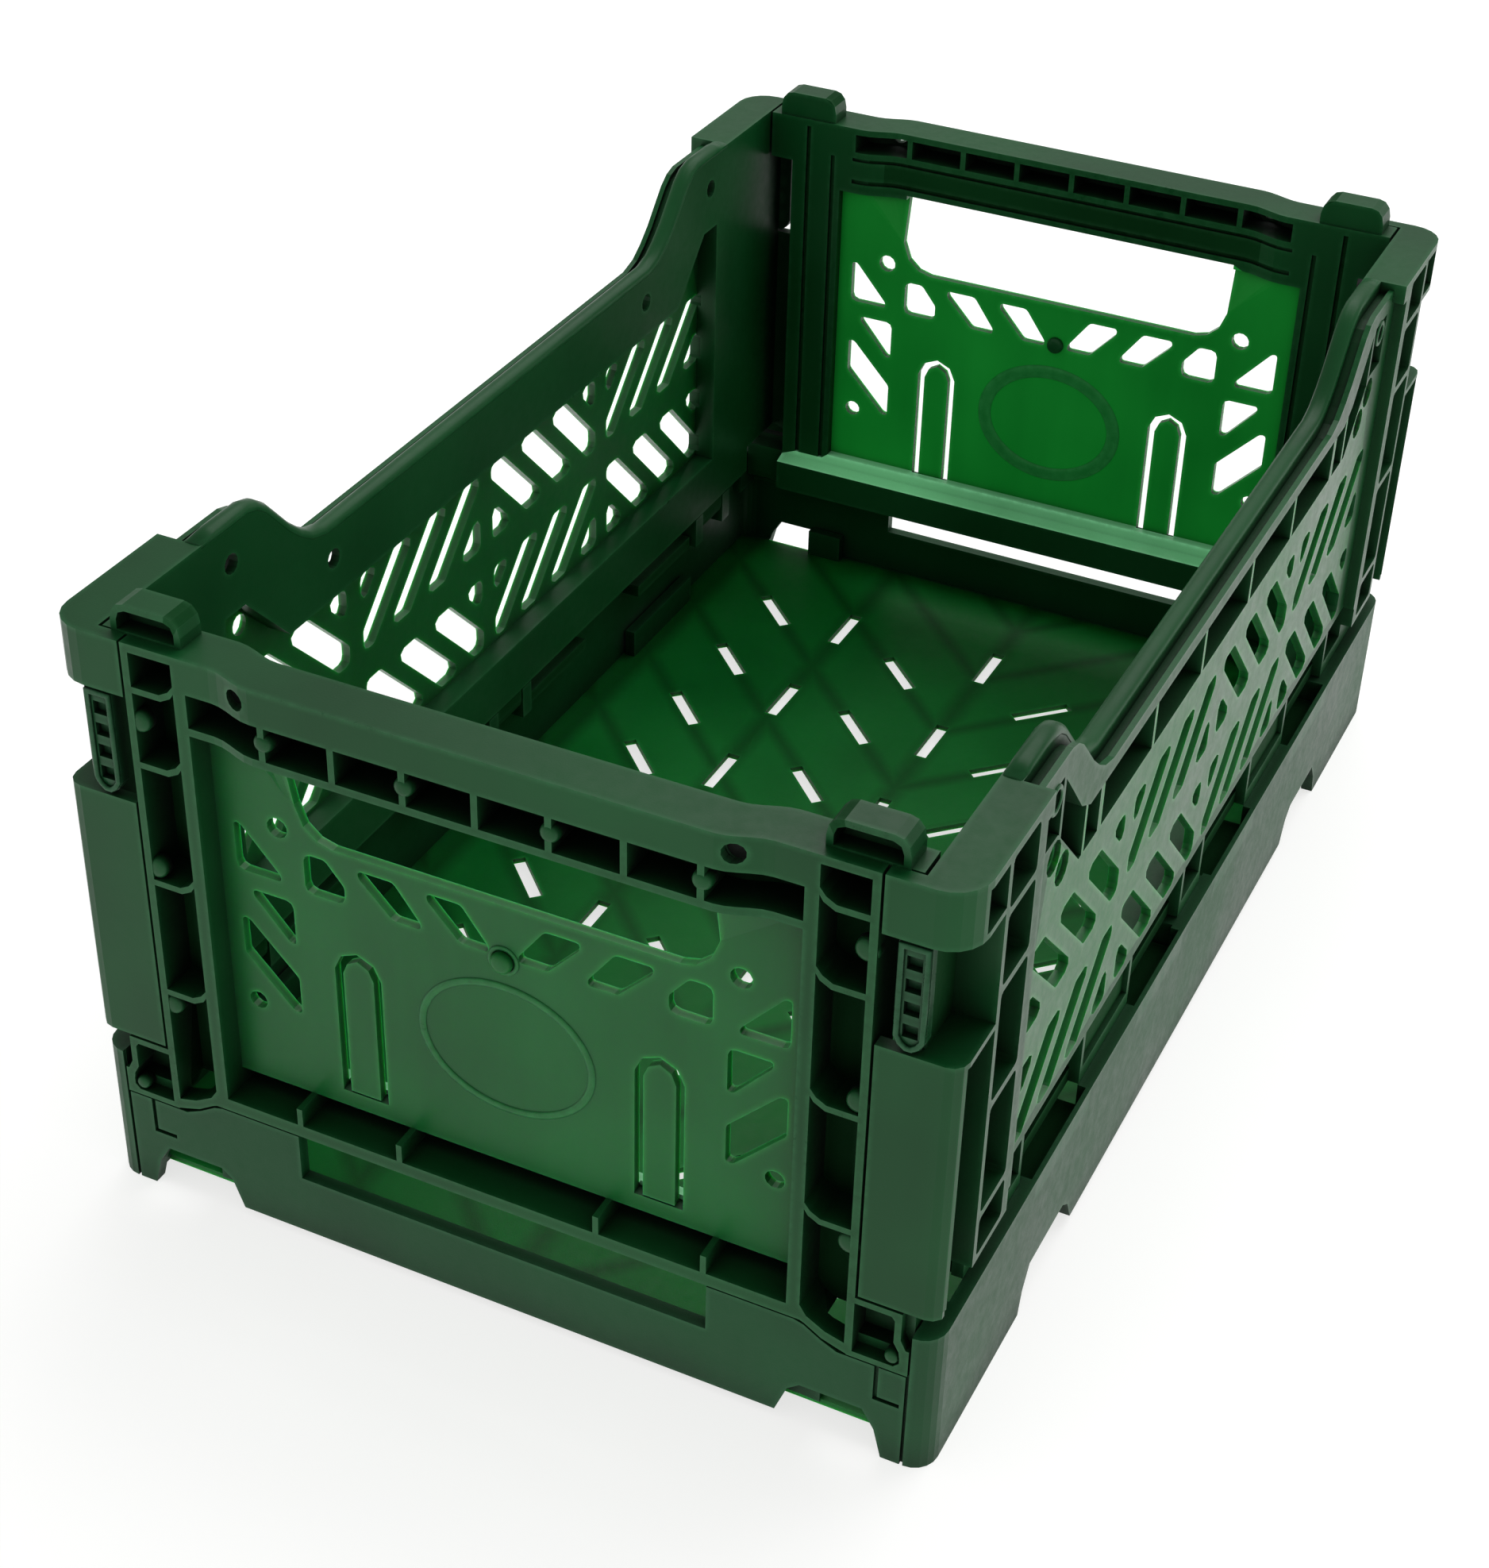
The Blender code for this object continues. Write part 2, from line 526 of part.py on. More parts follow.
        # Room for the end wall's feet and its frame.
        ends = sorted((side * 116.4, side * (PLATE_IN + 0.05)))
        add_box(tool, (SIDE_IN - 1, ends[0], 29.0), (77.5, ends[1], 36.9))
    boolean(wall, object_from(tool, "outer_cells", cutters), "DIFFERENCE")
    tool = bmesh.new()
    for shape in side_holes():
        add_prism(tool, shape, "x", SIDE_PANEL_IN - 1, SIDE_OUT + 1)
    for side in (1, -1):
        for y, z in ((91.5, 99.9), (86.7, 94.9)):
            add_prism(tool, circle(side * y, z, 2.1, 12), "x", SIDE_IN - 1, HALF_W + 1)
            add_prism(tool, circle(side * y, z, 3.2, 12), "x", SIDE_PANEL_IN + 1.0, HALF_W + 1)
        for y, z in ((93.6, 112.4), (62.5, 97.5)):
            add_prism(tool, circle(side * y, z, 2.0, 12), "x", SIDE_IN - 1, HALF_W + 1)
    boolean(wall, object_from(tool, "slots", cutters), "DIFFERENCE")
    knuckles = bmesh.new()
    for y in SIDE_PIN_YS:
        shape = [(SIDE_PIN_X - 2.9, SIDE_LOW_Z + 1.0), (SIDE_PIN_X - 2.9, SIDE_PIN_Z)]
        shape += [(SIDE_PIN_X + 2.9 * math.cos(a), SIDE_PIN_Z + 2.9 * math.sin(a))
                  for a in (-2.7, -2.1, -1.57, -1.0, -0.4)]
        shape += [(SIDE_PIN_X + 2.9, SIDE_PIN_Z), (SIDE_PIN_X + 2.9, SIDE_LOW_Z + 1.0)]
        add_prism(knuckles, shape, "y", y - 5.0, y + 5.0)
    boolean(wall, object_from(knuckles, "knuckles", cutters), "UNION")
    tool = bmesh.new()
    for y in SIDE_PIN_YS:
        add_prism(tool, circle(SIDE_PIN_X, SIDE_PIN_Z, BORE_R, 16), "y", y - 6.0, y + 6.0)
    boolean(wall, object_from(tool, "bores", cutters), "DIFFERENCE")
    tidy(wall)
    return wall


def tray_slots():
    """Slots in the floor, alternately along the tray and leaning towards the middle."""
    slots = []
    for column, x in enumerate((-56.0, -37.4, -18.0, 0.0, 18.0, 37.4, 56.0)):
        if column % 2 == 1:
            for y in (-99.0, -64.0, -31.0, 2.0, 31.0, 64.0, 99.0):
                slots.append([(x - SLIT, y - 7.0), (x + SLIT, y - 7.0),
                              (x + SLIT, y + 7.0), (x - SLIT, y + 7.0)])
        else:
            lean = -1.0 if x < 0 else 1.0
            rows = (-102.0, -76.0, -50.0, -24.0, 2.0, 27.0, 50.0, 74.0, 99.0)
            if abs(x) < 30:
                rows = (-87.0, -61.0, -35.0, -9.0, 10.0, 35.0, 61.0, 87.0)
            for y in rows:
                dx = 5.0
                dy = 5.0 * lean
                side = Vector((-dy, dx)).normalized() * SLIT
                corners = []
                for a, b in ((-1, -1), (1, -1), (1, 1), (-1, 1)):
                    corners.append((x + a * dx + b * side.x, y + a * dy + b * side.y))
                slots.append(corners)
    return slots


def make_tray(place, cutters):
    plan = [(-HALF_W, -HALF_L), (HALF_W, -HALF_L), (HALF_W, HALF_L), (-HALF_W, HALF_L)]
    outer = rounded(plan, TRAY_ROUND, 5)
    tray = prism_object("base_tray", place, outer, "z", 0.0, TRAY_Z)
    inset = [(-HALF_W + SKIN, -HALF_L + SKIN), (HALF_W - SKIN, -HALF_L + SKIN),
             (HALF_W - SKIN, HALF_L - SKIN), (-HALF_W + SKIN, HALF_L - SKIN)]
    hollow = prism_object("hollow", cutters, rounded(inset, TRAY_ROUND - 1.5, 4), "z", FLOOR_TOP, TRAY_Z + 1)
    boolean(tray, hollow, "DIFFERENCE")
    tool = bmesh.new()
    add_prism(tool, rounded(inset, TRAY_ROUND - 1.5, 4), "z", -1.0, FLOOR_LOW)
    boolean(tray, object_from(tool, "underside", cutters), "DIFFERENCE")
    tool = bmesh.new()
    # Lower end walls, and the notch in the middle of each.
    for side in (1, -1):
        ends = sorted((side * 126.0, side * (HALF_L + 1)))
        low = FOOT_LOW - 0.3
        shape = [(-77.3, low), (-64.4, low), (-61.3, 22.2), (-58.2, 24.2), (-56.4, TRAY_END_Z)]
        shape += [(-x, z) for x, z in shape[::-1]]
        shape += [(77.3, TRAY_Z + 1), (-77.3, TRAY_Z + 1)]
        add_prism(tool, shape, "y", ends[0], ends[1])
    boolean(tray, object_from(tool, "end_tops", cutters), "DIFFERENCE")
    tool = bmesh.new()
    for side in (1, -1):
        ends = sorted((side * 129.5, side * (HALF_L + 1)))
        add_box(tool, (-40.3, ends[0], 14.8), (40.3, ends[1], TRAY_Z))
        # Raised bottom edge between the corner feet, with an arch next to each foot.
        arch = [(-73.6, -1.0), (-71.8, 6.0), (-69.5, 9.8), (-58.0, 9.8), (-55.8, 8.0), (-53.6, 2.0),
                (53.6, 2.0), (55.8, 8.0), (58.0, 9.8), (69.5, 9.8), (71.8, 6.0), (73.6, -1.0)]
        add_prism(tool, arch, "y", ends[0], ends[1])
        ends = sorted((side * (HALF_W - 3.4), side * (HALF_W + 1)))
        arch = [(-92.0, -1.0), (-90.4, 5.0), (-87.6, 9.2), (-71.0, 9.2), (-68.0, 7.0), (-65.6, 2.0),
                (65.6, 2.0), (68.0, 7.0), (71.0, 9.2), (87.6, 9.2), (90.4, 5.0), (92.0, -1.0)]
        add_prism(tool, arch, "x", ends[0], ends[1])
    boolean(tray, object_from(tool, "bottom_edge", cutters), "DIFFERENCE")
    tool = bmesh.new()
    for side in (1, -1):
        # Grooves on the end faces: beside each corner post, and a small angle.
        ends = sorted((side * (HALF_L - 0.7), side * (HALF_L + 1)))
        for x in (-77.4, 76.8):
            add_box(tool, (x, ends[0], -1.0), (x + 0.6, ends[1], TRAY_Z + 1))
        for x in (-72.2, 71.2):
            xs = sorted((-side * x, -side * (x + 0.8)))
            add_box(tool, (xs[0], ends[0], 13.0), (xs[1], ends[1], FOOT_LOW + 1))
            xs = sorted((-side * x, -side * (x + 4.8)))
            add_box(tool, (xs[0], ends[0], 13.0), (xs[1], ends[1], 13.9))
        # A channel in the top of each long side, beside the deep cells.
        for start, end in ((-89.0, -62.0), (-36.0, -10.0), (10.0, 36.0), (62.0, 89.0)):
            xs = sorted((side * (HALF_W - SKIN - 0.5), side * (HALF_W - 0.9)))
            add_box(tool, (xs[0], start, 25.6), (xs[1], end, TRAY_Z + 1))
    boolean(tray, object_from(tool, "grooves", cutters), "DIFFERENCE")
    tool = bmesh.new()
    for shape in tray_slots():
        add_prism(tool, shape, "z", FLOOR_LOW - 1, FLOOR_TOP + 1)
    boolean(tray, object_from(tool, "floor_slots", cutters), "DIFFERENCE")
    ears = bmesh.new()
    for sx in (1, -1):
        for sy in (1, -1):
            # Backs of the arches, so that only a short slit is open at each end.
            xs = sorted((sx * 76.6, sx * 78.9))
            ys = sorted((sy * 64.0, sy * 93.6))
            add_box(ears, (xs[0], ys[0], FLOOR_TOP - 0.5), (xs[1], ys[1], 11.0))
            xs = sorted((sx * 52.0, sx * 60.5))
            ys = sorted((sy * 127.6, sy * 129.8))
            add_box(ears, (xs[0], ys[0], FLOOR_TOP - 0.5), (xs[1], ys[1], 11.0))
            xs = sorted((sx * 77.4, sx * (HALF_W - SKIN + 0.5)))
            ys = sorted((sy * 122.6, sy * 131.0))
            add_box(ears, (xs[0], ys[0], 20.0), (xs[1], ys[1], TRAY_Z))
        # Ledges under the long walls, level with the channels.
        for start, end in ((-88.4, -62.0), (-36.0, -10.0), (10.0, 36.0), (62.0, 88.4)):
            xs = sorted((sx * 74.5, sx * (HALF_W - SKIN + 0.3)))
            add_box(ears, (xs[0], start, 22.6), (xs[1], end, 25.4))
        xs = sorted((sx * 73.1, sx * (HALF_W - SKIN + 0.5)))
        for y in SIDE_PIN_YS:
            for ey in (1, -1):
                ys = sorted((y + ey * 5.3, y + ey * 9.0))
                add_box(ears, (xs[0], ys[0], 22.5), (xs[1], ys[1], TRAY_Z))
    boolean(tray, object_from(ears, "ears", cutters), "UNION")
    tool = bmesh.new()
    for sx in (1, -1):
        for sy in (1, -1):
            xs = sorted((sx * 76.5, sx * 80.0))
            add_prism(tool, circle(sy * HINGE_Y, HINGE_Z, BORE_R, 16), "x", xs[0], xs[1])
        for y in SIDE_PIN_YS:
            add_prism(tool, circle(sx * SIDE_PIN_X, SIDE_PIN_Z, BORE_R, 16), "y", y - 8.0, y + 8.0)
    boolean(tray, object_from(tool, "bores", cutters), "DIFFERENCE")
    tidy(tray)
    return tray


def make_latch(name, place, cutters, sx, sy):
    """A springy tongue hanging in the corner window, with four square pockets."""
    outline = [(70.2, 108.8), (70.2, 91.0), (71.0, 89.5), (72.2, 88.6),
               (73.6, 88.6), (74.8, 89.5), (75.6, 91.0), (75.6, 108.8)]
    ends = sorted((sy * 130.7, sy * 132.6))
    latch = prism_object(name, place, [(sx * x, z) for x, z in outline], "y", ends[0], ends[1])
    tool = bmesh.new()
    ends = sorted((sy * 131.3, sy * 134.0))
    for z in (91.0, 95.3, 99.6, 103.9):
        hole = [(sx * 71.6, z), (sx * 74.2, z), (sx * 74.2, z + 2.5), (sx * 71.6, z + 2.5)]
        add_prism(tool, hole, "y", ends[0], ends[1])
    boolean(latch, object_from(tool, "rungs", cutters), "DIFFERENCE")
    tidy(latch)
    return latch


def make_tab(name, place, sx, sy):
    x = sx * TAB_X
    outline = [(x - 3.0, 35.1), (x + 3.0, 35.1), (x + 3.0, 61.4), (x + 2.1, 63.6), (x, 64.8),
               (x - 2.1, 63.6), (x - 3.0, 61.4)]
    ends = sorted((sy * (PANEL_IN + 0.05), sy * (PANEL_OUT - 0.05)))
    return prism_object(name, place, outline, "y", ends[0], ends[1])


def make_pin(name, place, points, axis, start, end):
    ends = sorted((start, end))
    return prism_object(name, place, points, axis, ends[0], ends[1])


def main():
    clear_scene()
    place = collection("folding_crate")
    cutters = collection("cutters")
    cutters.hide_render = True
    body = material("green_moulding", (0.035, 0.115, 0.045), 0.42)
    clips = material("green_clips", (0.03, 0.10, 0.04), 0.40)
    parts = []

    tray = make_tray(place, cutters)
    front = make_end_wall(place, cutters)
    back = turned_copy(front, "back_end_wall", place)
    right = make_side_wall(place, cutters)
    left = turned_copy(right, "left_long_wall", place)
    for obj in (tray, front, back, right, left):
        obj.data.materials.clear()
        obj.data.materials.append(body)
        parts.append(obj)

    for end, sy in (("front", -1), ("back", 1)):
        for side, sx in (("left", -1), ("right", 1)):
            latch = make_latch(end + "_" + side + "_latch_tongue", place, cutters, sx, sy)
            tab = make_tab(end + "_" + side + "_spring_tab", place, sx, sy)
            pin = make_pin(end + "_" + side + "_hinge_pin", place,
                           circle(sy * HINGE_Y, HINGE_Z, PIN_R, 16), "x", sx * 77.0, sx * 79.7)
            for obj in (latch, tab, pin):
                obj.data.materials.clear()
                obj.data.materials.append(clips)
                parts.append(obj)
    for side, sx in (("left", -1), ("right", 1)):
        for spot, y in zip(("front", "middle", "back"), SIDE_PIN_YS):
            pin = make_pin(side + "_wall_" + spot + "_pin", place,
                           circle(sx * SIDE_PIN_X, SIDE_PIN_Z, PIN_R, 16), "y", y - 7.6, y + 7.6)
            pin.data.materials.clear()
            pin.data.materials.append(clips)
            parts.append(pin)

    # The moving walls turn on their own hinge lines.
    for obj, sy in ((front, -1), (back, 1)):
        axis = Vector((0.0, sy * HINGE_Y * MM, HINGE_Z * MM))
        obj.data.transform(Matrix.Translation(-axis))
        obj.location = axis
    for obj in parts:
        for face in obj.data.polygons:
            face.use_smooth = False


main()
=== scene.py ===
"""Looks of the folding crate: softened mouldings, small moulded details, materials, light and camera."""

import math

import bmesh
import bpy
from mathutils import Matrix, Vector


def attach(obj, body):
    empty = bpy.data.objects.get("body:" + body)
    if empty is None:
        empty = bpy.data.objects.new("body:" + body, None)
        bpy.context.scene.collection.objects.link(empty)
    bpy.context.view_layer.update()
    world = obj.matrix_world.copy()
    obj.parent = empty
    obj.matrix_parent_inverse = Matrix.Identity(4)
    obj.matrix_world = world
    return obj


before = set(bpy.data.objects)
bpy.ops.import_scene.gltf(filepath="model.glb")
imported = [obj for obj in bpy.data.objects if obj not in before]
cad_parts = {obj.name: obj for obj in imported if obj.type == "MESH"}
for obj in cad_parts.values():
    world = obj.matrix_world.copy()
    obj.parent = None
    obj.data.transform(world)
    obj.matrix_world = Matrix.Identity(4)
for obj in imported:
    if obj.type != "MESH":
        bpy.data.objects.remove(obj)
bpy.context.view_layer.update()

# Lengths are in millimetres, except in the camera and light section at the end, which is in metres.
# Each detail is drawn once, at the front or at the front right corner, and turned to its other places.
MM = 0.001
HALF_TURN = Matrix.Rotation(math.pi, 4, "Z")
MIRROR_X = Matrix.Scale(-1.0, 4, (1, 0, 0))

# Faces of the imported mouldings, as distances from the middle of the crate.
PANEL_IN = 126.2           # inside of an end wall's thin panel
PANEL_OUT = 128.0
PANEL_SIDE = 55.0
PANEL_HEAD = 105.6
END_FACE = 133.0           # outside of an end wall's frame
GRIP_FACE = 135.4
SIDE_PANEL_IN = 77.7       # inside of a long wall's slotted panel
SIDE_OUT = 79.6
RIM_TOP = 120.0
RIDGE_TOP = 104.0          # top of a long wall between its raised ends
SLACK = 0.05

# Places of small details.
OVAL_HEIGHT = 57.0
LADDER_X = 65.2
LADDER_BOSS_HEIGHTS = (45.2, 75.0, 104.8)
RIB_PAD_XS = (13.0, 39.0)
TONGUE = [(70.3, 108.7), (70.3, 91.0), (71.1, 89.6), (72.3, 88.7), (73.5, 88.7), (74.7, 89.6), (75.5, 91.0),
          (75.5, 108.7)]

# Pattern of the floor's slots: rows that lean from the middle line, and straight rows between them.
LEANING_START = 17.5
LEANING_PITCH = 25.0
STRAIGHT_PITCH = 37.4


# ---------------------------------------------------------------- materials

class Recipe:
    """The nodes of one material. Values may be numbers, colours or outputs of other nodes."""

    def __init__(self, name):
        self.material = bpy.data.materials.new(name)
        self.material.use_nodes = True
        self.tree = self.material.node_tree
        self.shader = self.tree.nodes["Principled BSDF"]
        self.place = self.node("ShaderNodeTexCoord").outputs["Object"]

    def node(self, kind, **values):
        new = self.tree.nodes.new(kind)
        for key, value in values.items():
            setattr(new, key, value)
        return new

    def feed(self, socket, value):
        if isinstance(value, tuple):
            socket.default_value = (*value, 1.0)
        elif isinstance(value, (int, float)):
            socket.default_value = value
        else:
            self.tree.links.new(value, socket)

    def noise(self, vector, scale, detail=3.0, rough=0.55):
        new = self.node("ShaderNodeTexNoise")
        new.inputs["Scale"].default_value = scale
        new.inputs["Detail"].default_value = detail
        new.inputs["Roughness"].default_value = rough
        self.feed(new.inputs["Vector"], vector)
        return new.outputs["Fac"]

    def ramp(self, value, low, high, to_low, to_high):
        new = self.node("ShaderNodeMapRange", clamp=True)
        new.inputs["From Min"].default_value = low
        new.inputs["From Max"].default_value = high
        new.inputs["To Min"].default_value = to_low
        new.inputs["To Max"].default_value = to_high
        self.feed(new.inputs["Value"], value)
        return new.outputs["Result"]

    def maths(self, operation, a, b=0.0):
        new = self.node("ShaderNodeMath", operation=operation)
        self.feed(new.inputs[0], a)
        self.feed(new.inputs[1], b)
        return new.outputs["Value"]

    def mix(self, factor, a, b, blend="MIX"):
        new = self.node("ShaderNodeMix", data_type="RGBA", blend_type=blend)
        self.feed(new.inputs[0], factor)
        self.feed(new.inputs[6], a)
        self.feed(new.inputs[7], b)
        return new.outputs[2]

    def occlusion(self, reach, own_edges):
        """Ambient occlusion, either towards the inside of the moulding or out into the open."""
        new = self.node("ShaderNodeAmbientOcclusion", samples=6, inside=own_edges, only_local=own_edges)
        new.inputs["Distance"].default_value = reach * MM
        return new.outputs["AO"]

    def bump(self, height, strength, distance, normal=None):
        new = self.node("ShaderNodeBump")
        new.inputs["Strength"].default_value = strength
        new.inputs["Distance"].default_value = distance * MM
        self.feed(new.inputs["Height"], height)
        if normal is not None:
            self.feed(new.inputs["Normal"], normal)
        return new.outputs["Normal"]


def drawn_out(recipe):
    """Coordinates in which noise becomes flow marks, partly a painted sheen, along the height."""
    stretch = recipe.node("ShaderNodeMapping")
    stretch.inputs["Scale"].default_value = (1.0, 1.0, 0.12)
    recipe.feed(stretch.inputs["Vector"], recipe.place)
    return stretch.outputs["Vector"]


def rib_distance(recipe):
    """Distance to the nearest of the lines that join the floor's slots, along which painted shade of the
    ribs under the floor is drawn.
    """
    split = recipe.node("ShaderNodeSeparateXYZ")
    recipe.feed(split.inputs["Vector"], recipe.place)
    across = recipe.maths("ABSOLUTE", split.outputs["X"])
    leaning = recipe.maths("SUBTRACT", split.outputs["Y"], across)
    leaning = recipe.maths("SUBTRACT", leaning, LEANING_START * MM)
    leaning = recipe.maths("PINGPONG", leaning, LEANING_PITCH / 2.0 * MM)
    straight = recipe.maths("PINGPONG", across, STRAIGHT_PITCH / 2.0 * MM)
    return recipe.maths("MINIMUM", leaning, straight)


def moulded_plastic(name, base, roughness, grain=0.05, glow=0.0, streak=0.5, gloss=0.2, painted_glow=0.0, rib_shadow=0.0):
    """Satin moulded plastic: flow marks that are partly a painted sheen, fine grain, paler edges that are
    partly wear and partly a painted highlight, and painted shade in recesses.

    glow is light scattered under the skin, painted_glow is the strength of a painted glow: the colour given
    off as light, standing in for daylight that comes through a thin skin from behind, and rib_shadow is the
    strength of painted shade: darker lines on the floor where the ribs under it block the light that comes
    through.
    """
    recipe = Recipe(name)
    shader = recipe.shader
    red, green, blue = base
    along = drawn_out(recipe)
    clouds = recipe.noise(recipe.place, 22.0, 2.0)
    flow = recipe.noise(along, 95.0)
    dust = recipe.noise(recipe.place, 420.0, 4.0, 0.65)
    edge = recipe.ramp(recipe.occlusion(1.1, own_edges=True), 0.55, 0.95, 1.0, 0.0)
    # painted shade mask: 1 on free faces and near 0.05 deep in a cell; it darkens the colour and raises the
    # roughness
    painted_shade_openness = recipe.ramp(recipe.occlusion(15.0, own_edges=False), 0.16, 0.80, 0.05, 1.0)

    dark = (red * 0.82, green * 0.82, blue * 0.82)
    light = (red * 1.16 + 0.002, green * 1.16 + 0.002, blue * 1.16 + 0.002)
    marked = (red * 1.6 + 0.004, green * 1.4, blue * 1.6 + 0.002)
    pale = (red * 2.0 + 0.020, green * 1.75 + 0.03, blue * 2.0 + 0.022)
    colour = recipe.mix(recipe.ramp(clouds, 0.35, 0.65, 0.0, 1.0), dark, light)
    # pale streaks along the height: partly flow marks and partly a painted sheen
    marks = recipe.maths("MULTIPLY", recipe.ramp(flow, 0.4, 0.7, 0.0, 1.0), 0.25 * streak)
    colour = recipe.mix(marks, colour, marked)
    # paler edges: partly wear, broken up by the dust noise, and partly a painted highlight where the rounded
    # edges catch the light
    worn_and_highlit = recipe.maths("MULTIPLY", edge, recipe.ramp(dust, 0.35, 0.65, 0.35, 1.0))
    colour = recipe.mix(recipe.maths("MULTIPLY", worn_and_highlit, 0.62), colour, pale)
    # painted shade: darker lines on the floor where the ribs under it, which are not modelled, block the
    # light that comes through the thin floor
    if rib_shadow:
        line = recipe.ramp(rib_distance(recipe), 0.3 * MM, 4.0 * MM, rib_shadow, 0.0)
        colour = recipe.mix(line, colour, (red * 0.3, green * 0.3, blue * 0.3))
    # painted shade: the colour is multiplied by the openness, so recesses and cells come out darker
    colour = recipe.mix(1.0, colour, painted_shade_openness, "MULTIPLY")
    recipe.feed(shader.inputs["Base Color"], colour)

    rough = recipe.ramp(clouds, 0.3, 0.7, roughness - 0.05, roughness + 0.05)
    rough = recipe.maths("ADD", rough, recipe.ramp(dust, 0.3, 0.7, -0.05, 0.06))
    rough = recipe.maths("ADD", rough, recipe.maths("MULTIPLY", edge, -0.05))
    rough = recipe.maths("ADD", rough, recipe.ramp(painted_shade_openness, 0.1, 0.7, 0.4, 0.0))
    recipe.feed(shader.inputs["Roughness"], rough)

    fine = recipe.bump(recipe.noise(recipe.place, 2600.0, 2.0), grain, 0.25)
    waves = recipe.bump(recipe.noise(along, 55.0, 1.0), 0.18, 0.5, fine)
    recipe.feed(shader.inputs["Normal"], waves)

    shader.inputs["Specular IOR Level"].default_value = gloss
    # painted glow: the colour is also given off as light, standing in for daylight that comes through a thin
    # skin from behind
    if painted_glow:
        recipe.feed(shader.inputs["Emission Color"], colour)
        shader.inputs["Emission Strength"].default_value = painted_glow
    if glow:
        shader.inputs["Subsurface Weight"].default_value = glow
        shader.inputs["Subsurface Radius"].default_value = (0.04, 1.0, 0.13)
        shader.inputs["Subsurface Scale"].default_value = 4.5 * MM
    return recipe.material


wall_green = moulded_plastic("wall_green", (0.0035, 0.077, 0.017), 0.38)
# The thin panels get a paler green than their frames: partly painted light for the daylight that comes
# through them, beside real scattering under the skin.
panel_green = moulded_plastic("panel_green", (0.0035, 0.130, 0.022), 0.38, glow=0.65, streak=1.0, gloss=0.25)
side_green = moulded_plastic("side_green", (0.0035, 0.125, 0.022), 0.38, glow=0.65, streak=1.0, gloss=0.46)
# painted light: a still paler green that glows, for the inner faces of the thin end panels, standing in for
# daylight that comes through them from behind
painted_backlit_green = moulded_plastic("painted_backlit_green", (0.0030, 0.190, 0.018), 0.42, streak=1.0, painted_glow=0.35)
tray_green = moulded_plastic("tray_green", (0.0035, 0.068, 0.017), 0.42, grain=0.08, streak=0.8)
# The slotted floor gets a paler green than the rest of the tray: partly painted light for light falling on
# and through the thin floor, with painted shade lines of the ribs under it.
floor_green = moulded_plastic("floor_green", (0.0025, 0.150, 0.022), 0.45, grain=0.08, gloss=0.14, glow=0.3,
                              rib_shadow=0.6)
# painted light: a pale green that glows, for the top of the end walls' bottom beams, standing in for light
# that falls there through the translucent panel
painted_lit_rail_green = moulded_plastic("painted_lit_rail_green", (0.070, 0.240, 0.105), 0.36, gloss=0.4, painted_glow=0.95)
# painted shade and glow: a darker green that still glows a little, for the soft shading round the oval on
# the inner face
oval_shade_and_glow_green = moulded_plastic("oval_shade_and_glow_green", (0.0030, 0.110, 0.016), 0.45, gloss=0.15, painted_glow=0.3)
# painted shade: a near-black, rough green with little shine for the backs of cells and of the tray's
# channels
painted_shade_green = moulded_plastic("painted_shade_green", (0.0020, 0.052, 0.010), 0.70, gloss=0.08)
clip_green = moulded_plastic("clip_green", (0.0035, 0.060, 0.016), 0.34)
pin_green = moulded_plastic("pin_green", (0.0030, 0.050, 0.014), 0.30, grain=0.03)


# ---------------------------------------------------------------- mesh helpers

def piece(name, bm, body, turn=None, green=wall_green):
    """A moulded detail that rides on a body. turn moves it from where it was drawn."""
    if turn is not None:
        bmesh.ops.transform(bm, matrix=turn, verts=bm.verts)
    bmesh.ops.recalc_face_normals(bm, faces=bm.faces)
    mesh = bpy.data.meshes.new(name)
    bm.to_mesh(mesh)
    bm.free()
    for face in mesh.polygons:
        face.use_smooth = True
    obj = bpy.data.objects.new(name, mesh)
    bpy.context.scene.collection.objects.link(obj)
    obj.data.materials.append(green)
    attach(obj, body)


def loft(bm, rings, loop=False):
    """Join rings of points, each a list of (x, y, z). loop joins the last ring to the first."""
    made = [[bm.verts.new(Vector(p) * MM) for p in ring] for ring in rings]
    count = len(rings[0])
    pairs = list(zip(made, made[1:]))
    if loop:
        pairs.append((made[-1], made[0]))
    for one, two in pairs:
        for i in range(count):
            j = (i + 1) % count
            bm.faces.new((one[i], two[i], two[j], one[j]))
    if not loop:
        bm.faces.new(made[0])
        bm.faces.new(made[-1][::-1])


def dome(bm, centre, radius, height, direction, sink=0.6, count=20):
    """A rounded boss: a short cylinder with a softened end, standing along direction."""
    axis = Vector(direction).normalized()
    side = axis.orthogonal().normalized()
    other = axis.cross(side)
    profile = ((0.45, 1.0), (0.75, 0.93), (0.93, 0.72), (1.0, 0.38))
    levels = [(-sink, 1.0)] + [(height * part, share) for part, share in profile]
    rings = []
    for level, share in levels:
        ring = []
        for i in range(count):
            angle = 2.0 * math.pi * i / count
            spot = Vector(centre) + axis * level
            spot += (side * math.cos(angle) + other * math.sin(angle)) * radius * share
            ring.append(tuple(spot))
        rings.append(ring)
    loft(bm, rings)


